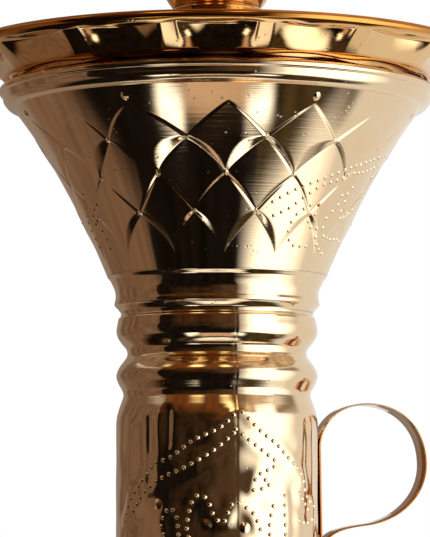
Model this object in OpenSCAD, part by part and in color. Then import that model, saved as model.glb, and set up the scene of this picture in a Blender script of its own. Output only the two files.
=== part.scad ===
// Dallah coffee pot in thin sheet brass: foot, belly, tube, flared mouth, strap handle, spout and lift-off lid.
// Millimetres, +Z up. The origin is on the axis, on the surface the pot stands on. +X points to the handle.

/* [Sheet and clearances] */
// Thickness of the sheet that the pot and lid are made of
wall = 0.7; // [0.5:0.05:1]
// Gap between pieces of one body that are soldered or riveted together
fit = 0.1; // [0.05:0.05:0.2]
// Gap between the lid and the pot
lid_gap = 0.3; // [0.25:0.05:0.6]

/* [Foot and belly] */
// Outer radius of the foot where it stands
foot_r = 54; // [50:1:60]
// Width of the flat rim that the foot stands on
foot_rim = 4; // [3:0.5:6]
// Height of the foot
foot_h = 12; // [10:0.5:16]
// Radius of the belly's lower neck, inside the foot
belly_neck_r = 45; // [41:0.5:47]
// Widest radius of the belly
belly_r = 71; // [66:1:75]
// Height of the belly, from the top of the foot to the tube
belly_h = 80; // [74:1:90]
// Thickness of the base plate
base_t = 0.8; // [0.6:0.1:1.5]
// Height of the moulding that covers the joint of belly and tube
waist_h = 6; // [4:0.5:8]

/* [Tube] */
// Outer radius of the tube
tube_r = 40; // [37:0.5:42]
// Height of the tube, from the belly to the neck collar
tube_h = 127.6; // [122:0.2:136]
// Depth of the deep groove between the two beads
groove_deep = 4.3; // [2.5:0.1:5.5]
// Depth of the shallow groove under the lower bead
groove_low = 2.8; // [1.5:0.1:3.5]

/* [Mouth] */
// Height of the neck collar, from the tube to the pressed funnel
collar_h = 14.9; // [12:0.1:20]
// Outer radius of the collar's small bead
collar_bead_r = 40.8; // [40.2:0.1:43]
// Outer radius where the collar meets the funnel
throat_r = 43.8; // [42.5:0.1:48]
// Height of the pressed funnel
funnel_h = 71.5; // [64:0.5:80]
// Outer radius of the funnel's top edge
mouth_r = 84.8; // [80:0.2:90]
// Height of the hoop round the mouth, below its bead
hoop_h = 5.6; // [4:0.2:8]
// Radius of the rolled bead's section
bead_r = 1.3; // [1.2:0.05:1.8]
// Number of diamonds round the funnel
net_n = 14; // [10:1:20]
// Distance by which each diamond's lower end stands out past its creases
net_swell = 0.7; // [0.4:0.1:1.2]
// Turn of the diamond net against the handle, in degrees
net_turn = -8; // [-12:0.25:12]

/* [Spout] */
// Height of the middle of the spout's root
spout_z = 58; // [54:1:62]
// Height of the spout's tip
spout_top = 124; // [110:1:127]
// Distance of the middle of the spout's tip from the axis
spout_reach = 90; // [86:0.5:93]
// Half height of the spout's root
root_a = 15; // [13:0.5:17]
// Half width of the spout's root
root_b = 12; // [11:0.5:14]
// Half length of the spout's mouth
tip_a = 8; // [7:0.5:9]
// Half width of the spout's mouth
tip_b = 5.5; // [5:0.25:6.5]
// Radius of the flange soldered round the root
flange_r = 20; // [19:0.5:22]
// Diameter of the strainer holes behind the spout
strainer_d = 4.5; // [3.5:0.25:5]

/* [Handle] */
// Width of the handle's strip
strip_w = 14; // [10:0.5:18]
// Thickness of the handle's strip
strip_t = 0.6; // [0.5:0.05:0.8]
// Reach of the loop from the tube
loop_out = 44; // [36:0.5:50]
// Height of the loop, from its foot to its crest
loop_h = 50; // [44:0.5:54]
// Height of the loop's foot above the belly's top
loop_z = 42; // [40:0.5:46]
// Diameter of the rivets' shanks
rivet_d = 3.8; // [3:0.1:4.5]
// Distance between the two rivets
rivet_step = 13; // [11:0.5:13.5]

/* [Lid] */
// Height of the lid's brim above the mouth's bead
brim_rise = 3.4; // [2.5:0.1:6]
// Outer radius of the brim's lower edge, on its ridges
brim_low_r = 85.6; // [82:0.2:88]
// Outer radius of the lid over its rolled lip
lid_r = 104; // [101:0.5:110]
// Height of the fluted brim
brim_h = 10.2; // [8:0.2:16]
// Number of flutes
flute_n = 16; // [12:1:20]
// Outer radius of the fluted wall at its top, on its ridges
flute_top_r = 95.5; // [93:0.5:97]
// Depth of the flutes at the top of the wall
flute_depth = 7; // [4:0.25:8]
// Height of the hem turned under the lid's lower edge
hem_h = 1.9; // [1:0.1:2.2]
// Radius of the rolled lip's section
lip_r = 1.3; // [1.2:0.05:1.8]
// Height of the dome over the brim's lower edge
dome_h = 26.5; // [20:0.5:34]
// Height at which the lid's collar seats in the funnel, below the mouth's bead
seat_drop = 12; // [10:0.5:14]

/* [Finial] */
// Radius of the finial's base
finial_base_r = 17.5; // [14:0.5:19]
// Height of the finial's base
finial_base_h = 2.5; // [2:0.25:5]
// Widest radius of the bulb
bulb_r = 23; // [21:0.5:26]
// Height of the bulb
bulb_h = 35; // [32:1:42]
// Height of the spire above the bulb
spire_h = 31; // [26:1:40]
// Diameter of the stud that holds the finial together
stud_d = 6; // [5:0.25:7]

/* [Hidden] */

// Colours of the metal
gold = "#d9a441";
deep_gold = "#b97f2a";
steel = "#9a9a9a";

// Heights of the joints between the pieces
belly_top = foot_h + belly_h;
tube_top = belly_top + tube_h;
collar_top = tube_top + collar_h;
funnel_top = collar_top + funnel_h;
bead_z = funnel_top + 2.9;
rim_top = bead_z + bead_r;
brim_z = rim_top + brim_rise;
lip_z = brim_z + brim_h;
dome_top = brim_z + dome_h;
bulb_z = dome_top + finial_base_h;
ring_z = bulb_z + bulb_h;
tip_z = ring_z + spire_h;

// Lap of the belly's neck inside the tube
lap = 5;
// Steps of a curve between two key points
steps = 6;
$fn = 64;

// Points of a cubic curve
function bez(p0, p1, p2, p3, n) =
  [for (i = [0 : n]) let (t = i / n, u = 1 - t)
    u * u * u * p0 + 3 * u * u * t * p1 + 3 * u * t * t * p2 + t * t * t * p3];

// A smooth curve through key points, with n steps between each two
function through(pts, n) = [
  for (i = [0 : len(pts) - 2])
    let (a = pts[max(i - 1, 0)], b = pts[i], c = pts[i + 1], d = pts[min(i + 2, len(pts) - 1)])
    for (k = [0 : n - 1])
      let (t = k / n)
      0.5 * (2 * b + (c - a) * t + (2 * a - 5 * b + 4 * c - d) * t * t + (3 * b - a - 3 * c + d) * t * t * t),
  pts[len(pts) - 1]
];

// A path moved sideways by d: to its left when d is positive
function beside(path, d) = [
  for (i = [0 : len(path) - 1])
    let (a = path[max(i - 1, 0)], b = path[min(i + 1, len(path) - 1)], t = (b - a) / norm(b - a))
    path[i] + d * [-t[1], t[0]]
];

function reversed(path) = [for (i = [len(path) - 1 : -1 : 0]) path[i]];
function sheet_outline(path, t) = concat(path, reversed(beside(path, t)));
function arc(c, r, a0, a1, n) = [for (i = [0 : n]) let (a = a0 + (a1 - a0) * i / n) c + r * [cos(a), sin(a)]];

// A shell of revolution, from the path of its outer face going up. Both ends are cut level with the path's own ends
module turned_sheet(path, t = wall) {
  low = path[0][1];
  high = path[len(path) - 1][1];
  reach = max([for (p = path) p[0]]) + t;
  rotate_extrude()
    intersection() {
      polygon(sheet_outline(path, t));
      translate([0, low]) square([reach, high - low]);
    }
}

// A closed skin over rings of points that all have the same length, from the first ring to the last and back
module ringed_solid(rings) {
  k = len(rings[0]);
  n = len(rings);
  polyhedron(
    points = [for (ring = rings) each ring],
    faces = [
      for (i = [0 : n - 1], j = [0 : k - 1])
        let (a = i * k + j, b = i * k + (j + 1) % k, c = ((i + 1) % n) * k + (j + 1) % k, d = ((i + 1) % n) * k + j)
        each ((i + j) % 2 == 0 ? [[a, c, b], [a, d, c]] : [[a, d, b], [b, d, c]])
    ]
  );
}

// ---- Outlines of the pot, each going up its outer face ----

belly_wide_z = foot_h + 0.45 * belly_h;
belly_end_r = tube_r - wall - fit;
function belly_path() = concat(
  [[belly_neck_r, foot_h - 6]],
  bez([belly_neck_r, foot_h], [belly_neck_r + 3, foot_h + 6], [belly_r, foot_h + 14], [belly_r, belly_wide_z], 10),
  [for (p = bez([belly_r, belly_wide_z], [belly_r, belly_wide_z + 21], [belly_end_r + 3, belly_top - 18],
                [belly_end_r, belly_top - 1], 10)) if (p[1] > belly_wide_z) p],
  [[belly_end_r, belly_top + lap]]
);

// The tube's two beads and grooves, by their depth under the tube's own radius and their place below its top
function tube_path() = concat(
  [[tube_r, belly_top]],
  through([
    [tube_r, tube_top - 43.6], [tube_r - 0.6, tube_top - 39.2], [tube_r - groove_low + 0.3, tube_top - 34.4],
    [tube_r - groove_low, tube_top - 32], [tube_r - 1.8, tube_top - 29.6], [tube_r - 0.2, tube_top - 25.2],
    [tube_r - 2.2, tube_top - 20.4], [tube_r - groove_deep, tube_top - 17.4], [tube_r - groove_deep, tube_top - 15],
    [tube_r - 2.4, tube_top - 12.6], [tube_r - 0.1, tube_top - 9], [tube_r, tube_top - 6.6],
    [tube_r - 0.4, tube_top - 4.2], [tube_r - 0.8, tube_top - 2.2], [tube_r - 1.6, tube_top - 1.3],
    [tube_r - 1.8, tube_top]
  ], 4)
);

// The collar's small bead, its straight band and the steep step under the funnel
function collar_path() = through([
  [tube_r - 1.7, tube_top + fit], [tube_r - 1.3, tube_top + 0.8], [collar_bead_r - 0.9, tube_top + 2.2],
  [collar_bead_r - 0.1, tube_top + 3.2], [collar_bead_r, tube_top + 4], [collar_bead_r - 0.35, tube_top + 5.4],
  [collar_bead_r - 0.4, tube_top + 7.8], [collar_bead_r + 0.3, collar_top - 4.6],
  [collar_bead_r + 1.1, collar_top - 2.6], [throat_r - 0.5, collar_top - 1.1], [throat_r, collar_top - fit]
], 2);

// The funnel's plain outline, without its diamonds, as [radius, height] at a share s of its height
funnel_curve = bez(
  [throat_r, collar_top], [throat_r + 0.24 * (mouth_r - throat_r), collar_top + 0.33 * funnel_h],
  [throat_r + 0.48 * (mouth_r - throat_r), collar_top + 0.62 * funnel_h], [mouth_r, funnel_top], 40
);
function funnel_r(z) = lookup(z, [for (p = funnel_curve) [p[1], p[0]]]);

// ---- Pot ----

// Rows of the funnel's skin: four to each diamond's height, then the plain band under the hoop
net_rows = 8;
net_low = 5.1;
net_high = funnel_h - 11;
net_cols = 4 * net_n;
function row_z(i) = i < 0 ? collar_top
  : i <= net_rows ? collar_top + net_low + (net_high - net_low) * pow(i / net_rows, 0.9)
  : collar_top + net_high + (funnel_h - net_high) * (i - net_rows) / 3;
// How far a point of the net stands out from the plain outline. Each whole diamond runs straight from its top to its
// foot, which stands out by net_swell; nothing stands out on the creases and outside the whole diamonds
function swell(i, j) =
  let (widest = 2 * (floor((j + i) / 4) - floor((j - i) / 4)))
  i <= 0 || i >= net_rows || widest <= 0 || widest >= net_rows || (j + i) % 4 == 0 || (j - i) % 4 == 0 ? 0
  : let (low = row_z(widest - 2), top = row_z(widest + 2), down = (top - row_z(i)) / (top - low))
    funnel_r(top) * (1 - down) + funnel_r(low) * down - funnel_r(row_z(i)) + net_swell * down;
function funnel_ring(i, inset) = [
  for (j = [0 : net_cols - 1])
    let (z = row_z(i), a = -90 + net_turn + 360 * j / net_cols, r = funnel_r(z) - inset + swell(i, j))
    [r * cos(a), r * sin(a), z]
];

module mouth_funnel() {
  slope_wall = wall * 1.25;
  color(gold)
    ringed_solid(concat(
      [for (i = [-1 : net_rows + 3]) funnel_ring(i, 0)],
      [for (i = [net_rows + 3 : -1 : -1]) funnel_ring(i, slope_wall)]
    ));
}

// The hoop's outer face: a rounded shoulder that lies down on the funnel, then straight up to its bead
hoop_in = mouth_r + fit;
hoop_low = bead_z - hoop_h;
shoulder_z = hoop_low - 2;
function hoop_path() =
  let (foot = [funnel_r(shoulder_z) + 2 * wall, shoulder_z], r = hoop_in + wall)
  concat(bez(foot, foot + [0.5, 0.6] * (r - foot[0]), [r, hoop_low - 0.2], [r, hoop_low + 1.4], steps), [[r, bead_z]]);
bead_wall = 0.45;
module rim_hoop() {
  c = [hoop_in + wall, bead_z];
  color(gold)
    rotate_extrude()
      difference() {
        union() {
          translate(c) circle(r = bead_r, $fn = 32);
          polygon(sheet_outline(hoop_path(), wall));
        }
        translate(c) circle(r = bead_r - bead_wall, $fn = 32);
      }
}

module rim_wire() {
  color(steel)
    rotate_extrude()
      translate([hoop_in + wall, bead_z]) circle(r = bead_r - bead_wall - fit / 2, $fn = 24);
}

module neck_collar() {
  color(gold) turned_sheet(collar_path());
}

module body_tube() {
  color(gold)
    difference() {
      turned_sheet(tube_path());
      rivet_holes();
    }
}

module waist_ring() {
  inner = tube_r + fit;
  color(deep_gold)
    rotate_extrude()
      polygon(concat(
        [[inner, belly_top], [inner, belly_top + waist_h]],
        bez([inner + 0.6, belly_top + waist_h], [inner + 1, belly_top + 0.7 * waist_h],
            [inner + 2.6, belly_top + 0.9 * waist_h], [inner + 2.6, belly_top + 0.5 * waist_h], steps),
        bez([inner + 2.6, belly_top + 0.45 * waist_h], [inner + 2.6, belly_top + 0.1 * waist_h],
            [inner + 1, belly_top + 0.3 * waist_h], [inner + 0.6, belly_top], steps)
      ));
}

// The middle and one ring of six small holes, drilled through the belly's wall behind the spout
module strainer_holes() {
  spacing = 1.45 * strainer_d;
  for (p = concat([[0, 0]], [for (a = [0 : 60 : 300]) spacing * [cos(a), sin(a)]]))
    translate([0, p[0], spout_z + p[1]])
      rotate([0, -90, 0]) cylinder(d = strainer_d, h = belly_r + 5, $fn = 32);
}

module belly() {
  color(gold)
    difference() {
      turned_sheet(belly_path());
      strainer_holes();
    }
}

module base_plate() {
  r = belly_neck_r - wall - fit;
  color(deep_gold)
    rotate_extrude()
      polygon([
        [0, foot_h - 2], [r - base_t, foot_h - 2], [r - base_t, foot_h - 6], [r, foot_h - 6],
        [r, foot_h - 2 + base_t], [0, foot_h - 2 + base_t]
      ]);
}

module foot_ring() {
  inner = belly_neck_r + fit;
  foot_t = 1.3;
  flare = bez([inner + foot_t, foot_h - 0.5], [inner + foot_t, foot_h - 5], [foot_r - 1, 5], [foot_r, 2.4], 8);
  color(gold)
    rotate_extrude()
      polygon(concat(
        [[foot_r, 0], [foot_r - foot_rim, 0], [foot_r - foot_rim, 1.2]],
        [for (p = reversed(beside(flare, -foot_t))) if (p[1] > 1.3 && p[0] > inner) p],
        [[inner, foot_h - 4], [inner, foot_h - 0.5]],
        flare
      ));
}

// ---- Spout: a swept beak whose rings turn from upright at its root to level at its mouth ----

spout_sides = 24;
spout_rows = 16;
spout_root = 0.75 * belly_r;
spout_run = spout_reach - spout_root;
spout_rise = spout_top - spout_z;
spout_line = bez([-spout_root, spout_z], [-belly_r - 0.33 * spout_run, spout_z - 0.03 * spout_rise],
                 [0.05 * spout_run - spout_reach, spout_z + 0.4 * spout_rise],
                 [-spout_reach, spout_top - 0.03 * spout_rise], spout_rows);
function eased(t) = t * (2 - t);
function spout_ring(i, inset) =
  let (
    t = i / spout_rows,
    turn = 90 - 75 * eased(t),
    a = root_a + (tip_a - root_a) * eased(t) - inset,
    b = root_b + (tip_b - root_b) * eased(t) - inset,
    p = spout_line[i]
  )
  [for (j = [0 : spout_sides - 1])
    let (u = a * cos(360 * j / spout_sides), v = b * sin(360 * j / spout_sides))
    [p[0] + u * cos(turn), v, p[1] + u * sin(turn)]];

module spout_skin(grow) {
  ringed_solid(concat(
    [for (i = [0 : spout_rows]) spout_ring(i, -grow)],
    [for (i = [spout_rows : -1 : 0]) spout_ring(i, wall)]
  ));
}

module spout_plug(grow) {
  k = spout_sides;
  polyhedron(
    points = [for (i = [0 : spout_rows]) each spout_ring(i, -grow)],
    faces = concat(
      [for (i = [0 : spout_rows - 1], j = [0 : k - 1])
        let (a = i * k + j, b = i * k + (j + 1) % k)
        each [[a, b + k, b], [a, a + k, b + k]]],
      [[for (j = [0 : k - 1]) j], [for (j = [k - 1 : -1 : 0]) spout_rows * k + j]]
    )
  );
}

// The belly as a full solid, larger by grow, to fit what is soldered on it
module belly_form(grow) {
  rotate_extrude()
    polygon(concat([[0, foot_h - 6]], beside(belly_path(), -grow), [[0, belly_top + lap]]));
}

module spout() {
  color(gold)
    difference() {
      spout_skin(0);
      belly_form(fit);
    }
}

flange_t = 0.8;
module spout_flange() {
  color(deep_gold)
    difference() {
      intersection() {
        difference() {
          belly_form(fit + flange_t);
          belly_form(fit);
        }
        translate([0, 0, spout_z]) rotate([0, -90, 0]) cylinder(r = flange_r, h = belly_r + 5);
      }
      spout_plug(fit);
    }
}

// ---- Handle: one strip bent into a loop, its two legs laid one on the other and riveted ----

pad_t = 0.6;
leg_gap = 0.15;
loop_foot = belly_top + loop_z;
leg_x = tube_r + fit + pad_t + strip_t / 2;
leg_low = belly_top + 1.33 * waist_h;
rivet_z = leg_low + 1.6 * rivet_d;

// The strip's middle line in the X-Z plane: up the inner leg, over the loop and down the outer leg
function strip_line() =
  let (
    x0 = tube_r + fit + strip_t / 2,
    x1 = tube_r + loop_out,
    crest = [tube_r + 0.45 * loop_out, loop_foot + loop_h],
    side = [x1, loop_foot + 0.52 * loop_h],
    bottom = [tube_r + 0.45 * loop_out, loop_foot + 0.04 * loop_h],
    out_x = leg_x + strip_t + leg_gap
  )
  concat(
    [[leg_x, leg_low], [leg_x, loop_foot - 3]],
    bez([x0 + 0.1, loop_foot + 0.64 * loop_h], [x0 + 0.1, loop_foot + 0.84 * loop_h],
        crest - [0.26 * loop_out, 0], crest, 10),
    [for (p = bez(crest, crest + [0.33 * loop_out, 0], side + [0, 0.29 * loop_h], side, 10)) if (p[0] > crest[0]) p],
    [for (p = bez(side, side - [0, 0.24 * loop_h], bottom + [0.32 * loop_out, 0.036 * loop_h], bottom, 10))
      if (p[1] < side[1]) p],
    [for (p = bez(bottom, bottom - [0.23 * loop_out, 0.026 * loop_h], [out_x, loop_foot - 1], [out_x, loop_foot - 10], 10))
      if (p[0] < bottom[0]) p],
    [[out_x, leg_low]]
  );

module rivet_holes() {
  for (i = [0, 1])
    translate([tube_r - 8, 0, rivet_z + i * rivet_step])
      rotate([0, 90, 0]) cylinder(d = rivet_d + 2 * fit, h = 20, $fn = 32);
}

module handle_strip() {
  line = strip_line();
  color(gold)
    difference() {
      rotate([90, 0, 0])
        translate([0, 0, -strip_w / 2])
          linear_extrude(height = strip_w)
            polygon(concat(beside(line, strip_t / 2), reversed(beside(line, -strip_t / 2))));
      rivet_holes();
    }
}

module handle_pad() {
  color(deep_gold)
    difference() {
      intersection() {
        rotate_extrude()
          translate([tube_r + fit / 2, leg_low - 1]) square([pad_t, loop_foot - leg_low - 1]);
        translate([0, -strip_w / 2 - 2, 0]) cube([tube_r + 10, strip_w + 4, funnel_top]);
      }
      rivet_holes();
    }
}

// A rivet along X, with a domed head outside and a flat head inside the tube
module rivet() {
  head_r = rivet_d;
  in_x = sqrt(pow(tube_r - wall, 2) - head_r * head_r) - fit;
  out_x = leg_x + 1.5 * strip_t + leg_gap + fit;
  rotate([0, 90, 0])
    rotate_extrude()
      polygon(concat(
        [[0, in_x - 1.2], [head_r, in_x - 1.2], [head_r, in_x], [rivet_d / 2, in_x], [rivet_d / 2, out_x]],
        [for (a = [0 : 15 : 90]) [head_r * cos(a), out_x + 1.8 * sin(a)]]
      ));
}

module handle_rivets() {
  color(deep_gold)
    for (i = [0, 1])
      translate([0, 0, rivet_z + i * rivet_step]) rivet();
}

// ---- Lid ----

brim_in = brim_low_r - 5.1;
seat_r = brim_in + 0.8;
seat_z = rim_top - seat_drop;
lid_collar_r = funnel_r(seat_z) - 1.25 * wall - lid_gap - 0.35;
flute_cols = 8 * flute_n;
flute_rows = 5;
lip_near = (lip_r + fit) * cos(45);
brim_top = [lid_r - lip_r - lip_near, lip_z - lip_near];
flange_z = brim_top[1] - 0.3;

// Share of each flute that its scoop takes; the rest is the ridge beside it
scoop_share = 0.82;
// The fluted wall's outer face at a share s of its height: almost round at its foot, with hollow scoops above that
// leave narrow ridges between them. Column 0 is the middle of a ridge
function flute_r(s, j) =
  let (
    off = min(1, abs(2 * ((j * flute_n / flute_cols) % 1) - 1) / scoop_share),
    scoop = flute_depth * (0.08 + 0.92 * pow(s, 1.2)) * (1 - off * off)
  )
  brim_low_r + (flute_top_r - brim_low_r) * s - scoop;
function flute_ring(s, inset, lift) = [
  for (j = [0 : flute_cols - 1])
    let (a = 360 * j / flute_cols, r = flute_r(s, j) - inset, z = brim_z + (flange_z - brim_z) * s + lift)
    [r * cos(a), r * sin(a), z]
];
function round_ring(r, z) = [
  for (j = [0 : flute_cols - 1]) let (a = 360 * j / flute_cols) [r * cos(a), r * sin(a), z]
];

// The hem, the fluted wall and the flat flange out to the lip, as one sheet
module lid_brim() {
  hem_r = brim_low_r - 0.08 * flute_depth;
  color(gold)
    ringed_solid(concat(
      [round_ring(brim_in, brim_z), round_ring(seat_r + 0.3, brim_z), round_ring(hem_r - 2.1, brim_z - 0.7 * hem_h),
       round_ring(hem_r - 1.1, brim_z - hem_h)],
      [for (i = [0 : flute_rows]) flute_ring(i / flute_rows, 0, 0)],
      [round_ring(brim_top[0], brim_top[1]), round_ring(brim_top[0] - wall, brim_top[1] + 0.8 * wall)],
      [for (i = [flute_rows : -1 : 0]) flute_ring(i / flute_rows, 1.2 * wall, 0.8 * wall)],
      [round_ring(brim_in, brim_z + wall)]
    ));
}

module lid_lip() {
  color(deep_gold)
    rotate_extrude() translate([lid_r - lip_r, lip_z]) circle(r = lip_r, $fn = 32);
}

module lid_dome() {
  low = brim_z + wall + fit;
  dome_r = brim_in + 0.4;
  path = concat(
    [[dome_r, low]],
    bez([dome_r - 0.6, low + 1.2], [0.62 * brim_low_r, low + 0.5 * dome_h],
        [0.36 * brim_low_r, dome_top - 3], [finial_base_r + 1, dome_top], 12),
    [[stud_d / 2 + 2 * fit, dome_top]]
  );
  color(gold) turned_sheet(path);
}

module lid_collar() {
  color(deep_gold)
    rotate_extrude()
      polygon([
        [lid_collar_r - wall, seat_z], [lid_collar_r, seat_z], [lid_collar_r, brim_z - fit - wall],
        [seat_r, brim_z - fit - wall], [seat_r, brim_z - fit], [lid_collar_r - wall, brim_z - fit]
      ]);
}

// ---- Finial: hollow turnings stacked on one stud ----

bore_r = stud_d / 2 + fit;

module finial_base() {
  color(deep_gold)
    rotate_extrude()
      polygon([
        [bore_r, dome_top + fit], [finial_base_r, dome_top + fit], [finial_base_r + 0.6, dome_top + 0.5 * finial_base_h],
        [finial_base_r, bulb_z - fit], [bore_r, bulb_z - fit]
      ]);
}

module finial_bulb() {
  wide_z = bulb_z + 14.4;
  path = concat(
    [[bore_r, bulb_z], [finial_base_r + 0.2, bulb_z]],
    bez([finial_base_r + 0.4, bulb_z + 0.2], [finial_base_r + 3.2, bulb_z + 3.6], [bulb_r, wide_z - 6],
        [bulb_r, wide_z], 8),
    [for (p = bez([bulb_r, wide_z], [bulb_r, wide_z + 9], [7, ring_z - 8], [5.5, ring_z - 1], 8))
      if (p[1] > wide_z) p],
    [[5.5, ring_z - fit], [bore_r, ring_z - fit]]
  );
  color(gold) turned_sheet(path);
}

module finial_ring() {
  h = 5;
  color(deep_gold)
    rotate_extrude()
      polygon(concat(
        [[bore_r, ring_z], [5.5, ring_z]],
        arc([6, ring_z + h / 2], 2.4, -80, 80, 8),
        [[5.5, ring_z + h], [bore_r, ring_z + h]]
      ));
}

module finial_spire() {
  low = ring_z + 5 + fit;
  blind = low + 6;
  color(gold)
    rotate_extrude()
      polygon(concat(
        [[0, blind], [bore_r, blind], [bore_r, low], [5, low]],
        bez([5, low], [9.5, low + 3], [8.5, low + 10], [3.4, low + 12.5], 8),
        bez([3.6, low + 13.5], [2.4, low + 16], [1, tip_z - 4], [0.6, tip_z - 0.5], 5),
        [[0, tip_z]]
      ));
}

stud_low = dome_top - wall - 7;
module finial_stud() {
  color(steel) translate([0, 0, stud_low]) cylinder(d = stud_d, h = ring_z + 10.5 - stud_low);
}

module finial_washer() {
  color(steel)
    translate([0, 0, dome_top - wall - fit - 1.2])
      difference() {
        cylinder(r = stud_d + 2.5, h = 1.2);
        translate([0, 0, -1]) cylinder(r = bore_r, h = 4);
      }
}

module finial_nut() {
  color(steel)
    translate([0, 0, dome_top - wall - 2 * fit - 1.2 - 4])
      difference() {
        cylinder(r = stud_d - 0.3, h = 4, $fn = 6);
        translate([0, 0, -1]) cylinder(r = stud_d / 2 + 0.05, h = 8, $fn = 64);
      }
}

mouth_funnel();
rim_hoop();
rim_wire();
neck_collar();
body_tube();
waist_ring();
belly();
base_plate();
foot_ring();
spout();
spout_flange();
handle_strip();
handle_pad();
handle_rivets();
lid_brim();
lid_lip();
lid_dome();
lid_collar();
finial_base();
finial_bulb();
finial_ring();
finial_spire();
finial_stud();
finial_washer();
finial_nut();
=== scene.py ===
"""Looks of the dallah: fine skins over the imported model, chased ornament, finishes, studio and camera."""
import math

import bpy
import numpy as np
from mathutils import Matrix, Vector


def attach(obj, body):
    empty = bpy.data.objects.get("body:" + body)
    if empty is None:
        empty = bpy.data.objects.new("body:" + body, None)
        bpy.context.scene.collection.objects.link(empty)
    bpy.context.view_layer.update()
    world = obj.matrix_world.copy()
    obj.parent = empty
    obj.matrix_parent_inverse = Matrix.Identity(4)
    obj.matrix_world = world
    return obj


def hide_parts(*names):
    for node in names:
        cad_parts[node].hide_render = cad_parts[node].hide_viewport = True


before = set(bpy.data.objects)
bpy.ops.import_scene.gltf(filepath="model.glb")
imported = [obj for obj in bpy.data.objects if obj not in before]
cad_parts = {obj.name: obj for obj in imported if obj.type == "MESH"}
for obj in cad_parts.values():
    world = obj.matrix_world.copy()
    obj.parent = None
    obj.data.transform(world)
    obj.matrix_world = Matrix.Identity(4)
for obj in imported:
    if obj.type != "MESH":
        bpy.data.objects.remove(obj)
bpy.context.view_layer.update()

# ---- Driving sizes, in millimetres ----

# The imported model's own
MM = 0.001
WALL, FIT = 0.7, 0.1
FOOT_R, FOOT_H, FOOT_RIM, NECK_R = 54.0, 12.0, 4.0, 45.0
BELLY_R, BELLY_TOP, WAIST_H = 71.0, 92.0, 6.0
TUBE_R, TUBE_TOP, GROOVE_DEEP, GROOVE_LOW = 40.0, 219.6, 4.3, 2.8
COLLAR_BEAD_R, THROAT_R, COLLAR_TOP = 40.8, 43.8, 234.5
MOUTH_R, FUNNEL_H, BEAD_R = 84.8, 71.5, 1.3
FUNNEL_TOP = COLLAR_TOP + FUNNEL_H
BEAD_Z = FUNNEL_TOP + 2.9
RIM_TOP = BEAD_Z + BEAD_R
FUNNEL_WALL = 1.25 * WALL
NET_N, NET_TURN, NET_ROWS, NET_LOW, NET_HIGH = 14, -8.0, 8, 5.1, 60.5
BRIM_Z, BRIM_H, BRIM_LOW_R, LID_R, LIP_R = 313.6, 10.2, 85.6, 104.0, 1.3
FLUTE_N, FLUTE_TOP_R, FLUTE_DEPTH, HEM_H, SCOOP_SHARE = 16, 95.5, 7.0, 1.9, 0.82
LIP_Z = BRIM_Z + BRIM_H
DOME_TOP = BRIM_Z + 26.5
FINIAL_BASE_R, FINIAL_BASE_H = 17.5, 2.5
BULB_Z = DOME_TOP + FINIAL_BASE_H
BULB_R, RING_Z, TIP_Z = 23.0, BULB_Z + 35.0, 408.6
SEAT_Z, SEAT_PLAY = RIM_TOP - 12.0, 0.65
STUD_R = 3.0

# The net's finer relief
NET_EASE = 0.9  # the rows close up a little towards the top
ROWS_ABOVE = 3  # plain rows from the net's top to the mouth
NET_TIP_Z = 297.3  # the height of the bosses over the net's upper points
NET_ROUND = 1.3  # how fast a diamond's edge rounds over onto its face
# By the row on which a diamond is widest: the share by which it runs straight from top to foot instead of
# bending with the funnel, the width over which it rolls down to its two lower creases, and how far it stands
# out half way down and at its foot. Then how far it stands out at its top, and the width of a crisp crease
NET_WIDEST, NET_STRAIGHT = [2, 4, 6], [0.4, 0.3, 0.6]
NET_ROLL_LEFT, NET_ROLL_RIGHT = [0.16, 0.08, 0.13], [0.16, 0.08, 0.26]
NET_MIDDLE, NET_FOOT = [0.40, 0.15, 0.18], [0.05, 0.22, 0.36]
NET_HEAD, NET_CRISP = 0.02, 0.012
# The net wanders off its even spacing by so many degrees at each row, most at this azimuth from the camera
LEAN_ROWS, LEAN = [0, 2, 4, 6, 8], [3.0, 2.7, 0.7, -3.7, -5.3]
LEAN_AT, LEAN_W = -28, 11

# The brim's hem and the mouth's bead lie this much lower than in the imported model, the bead and the lip are
# this much fuller, and the scoops wander by up to so many degrees
BRIM_DROP, BEAD_DROP, BEAD_FULLER, LIP_FULLER, SCOOP_DRIFT = 0.6, 0.8, 0.3, 0.55, 11.0
ROUND = 256  # steps round a plain solid of revolution

# The camera stands this far round from -Y, towards -X, in degrees
CAMERA_TURN = 11.25
FRONT = 90 + CAMERA_TURN  # added to an azimuth in the model, gives the azimuth from the camera


# ---- Curves ----

def bez(p0, p1, p2, p3, n):
    """A cubic curve in n steps."""
    t = np.linspace(0, 1, n + 1)[:, None]
    u = 1 - t
    p0, p1, p2, p3 = (np.array(p, float) for p in (p0, p1, p2, p3))
    return u**3 * p0 + 3 * u * u * t * p1 + 3 * u * t * t * p2 + t**3 * p3


def through(pts, n):
    """A smooth curve through the points, with n steps between each two."""
    pts = np.array(pts, float)
    out = []
    for i in range(len(pts) - 1):
        a, b, c, d = pts[max(i - 1, 0)], pts[i], pts[i + 1], pts[min(i + 2, len(pts) - 1)]
        t = np.linspace(0, 1, n, endpoint=False)[:, None]
        out.append(0.5 * (2 * b + (c - a) * t + (2 * a - 5 * b + 4 * c - d) * t * t
                          + (3 * b - a - 3 * c + d) * t**3))
    return np.vstack(out + [pts[-1:]])


def arc(centre, r, a0, a1, n):
    """A circle's arc from a0 to a1 degrees in n steps."""
    a = np.radians(np.linspace(a0, a1, n + 1))
    return np.array(centre) + r * np.stack([np.cos(a), np.sin(a)], 1)


def beside(path, d):
    """The path moved to its left by d."""
    ahead = np.vstack([path[1:], path[-1:]])
    behind = np.vstack([path[:1], path[:-1]])
    t = ahead - behind
    t /= np.linalg.norm(t, axis=1)[:, None]
    return path + d * np.stack([-t[:, 1], t[:, 0]], 1)


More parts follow.
